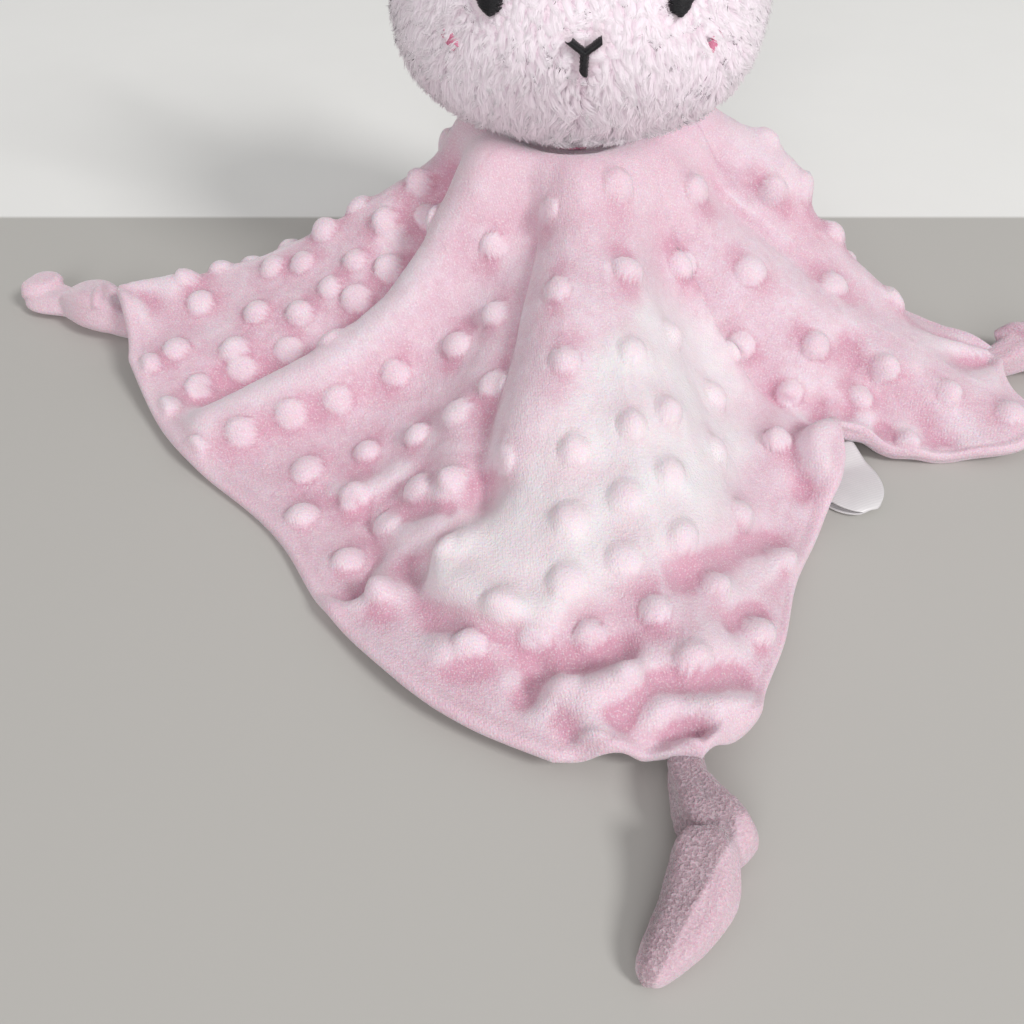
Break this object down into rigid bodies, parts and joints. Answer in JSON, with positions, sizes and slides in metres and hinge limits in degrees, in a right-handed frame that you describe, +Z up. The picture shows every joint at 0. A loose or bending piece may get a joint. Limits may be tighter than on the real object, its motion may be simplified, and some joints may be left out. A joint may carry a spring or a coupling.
{
  "type": "comfort blanket lovey",
  "caption": "Small stuffed bunny head with upright ears sewn to the middle of a two-layer square dotted plush blanket, draped like a tent, with knotted corners.",
  "frame": {"origin": "on the table, under the middle of the toy's outer box", "axes": "+Z up, the face looks along -Y, +X to the right as seen from in front"},
  "size_m": [0.3414, 0.3571, 0.1963],
  "materials": {
    "shaggy_plush": "long curly pile",
    "minky_dot": "short velvet pile with raised dots",
    "velour": "short smooth pile",
    "satin": "satin",
    "black_thread": "satin stitch",
    "white_thread": "satin stitch",
    "pink_thread": "satin stitch",
    "fibre_fill": "loose polyester fibre"
  },
  "bodies": {
    "blanket": {"blanket_lining": "velour", "blanket_top": "minky_dot", "care_label": "satin", "neck_stitches": "pink_thread"},
    "neck": {"neck_gather": "shaggy_plush"},
    "head": {"face_panel_left": "shaggy_plush", "face_panel_right": "shaggy_plush", "head_back_panel": "shaggy_plush", "head_stuffing": "fibre_fill", "nose_and_mouth": "black_thread", "eye_left": "black_thread", "eye_right": "black_thread", "eye_highlight_left": "white_thread", "eye_highlight_right": "white_thread", "cheek_left": "pink_thread", "cheek_right": "pink_thread"},
    "ear_left": {"ear_left_back": "shaggy_plush", "ear_left_lining": "velour"},
    "ear_right": {"ear_right_back": "shaggy_plush", "ear_right_lining": "velour"},
    "corner_right": {"knot_right": "minky_dot"},
    "corner_back": {"knot_back": "minky_dot"},
    "corner_left": {"knot_left": "minky_dot"},
    "corner_front": {"knot_front": "minky_dot"}
  },
  "joints": [
    {"name": "head_turn", "type": "hinge", "parent": "blanket", "child": "neck", "pos_m": [0.00022, 0.03819, 0.0542], "axis": [0, 0, 1], "range_deg": [-40, 40]},
    {"name": "head_nod", "type": "hinge", "parent": "neck", "child": "head", "pos_m": [0.00022, 0.03819, 0.0542], "axis": [1, 0, 0], "range_deg": [-22, 22]},
    {"name": "ear_left_flop", "type": "hinge", "parent": "head", "child": "ear_left", "pos_m": [-0.02084, 0.04119, 0.14163], "axis": [0.9397, 0, 0.342], "range_deg": [-45, 35]},
    {"name": "ear_right_flop", "type": "hinge", "parent": "head", "child": "ear_right", "pos_m": [0.02128, 0.04119, 0.14163], "axis": [0.9397, 0, -0.342], "range_deg": [-45, 35]},
    {"name": "corner_right_lift", "type": "hinge", "parent": "blanket", "child": "corner_right", "pos_m": [0.12822, -0.00181, 0.0066], "axis": [0.1564, -0.9877, 0], "range_deg": [0, 45]},
    {"name": "corner_back_lift", "type": "hinge", "parent": "blanket", "child": "corner_back", "pos_m": [0.00622, 0.13419, 0.0066], "axis": [0.9903, -0.1392, 0], "range_deg": [0, 45]},
    {"name": "corner_left_lift", "type": "hinge", "parent": "blanket", "child": "corner_left", "pos_m": [-0.13778, 0.02119, 0.0066], "axis": [0.5, 0.866, 0], "range_deg": [0, 45]},
    {"name": "corner_front_lift", "type": "hinge", "parent": "blanket", "child": "corner_front", "pos_m": [0.02122, -0.13781, 0.0066], "axis": [-0.9986, 0.0523, 0], "range_deg": [0, 45]}
  ]
}
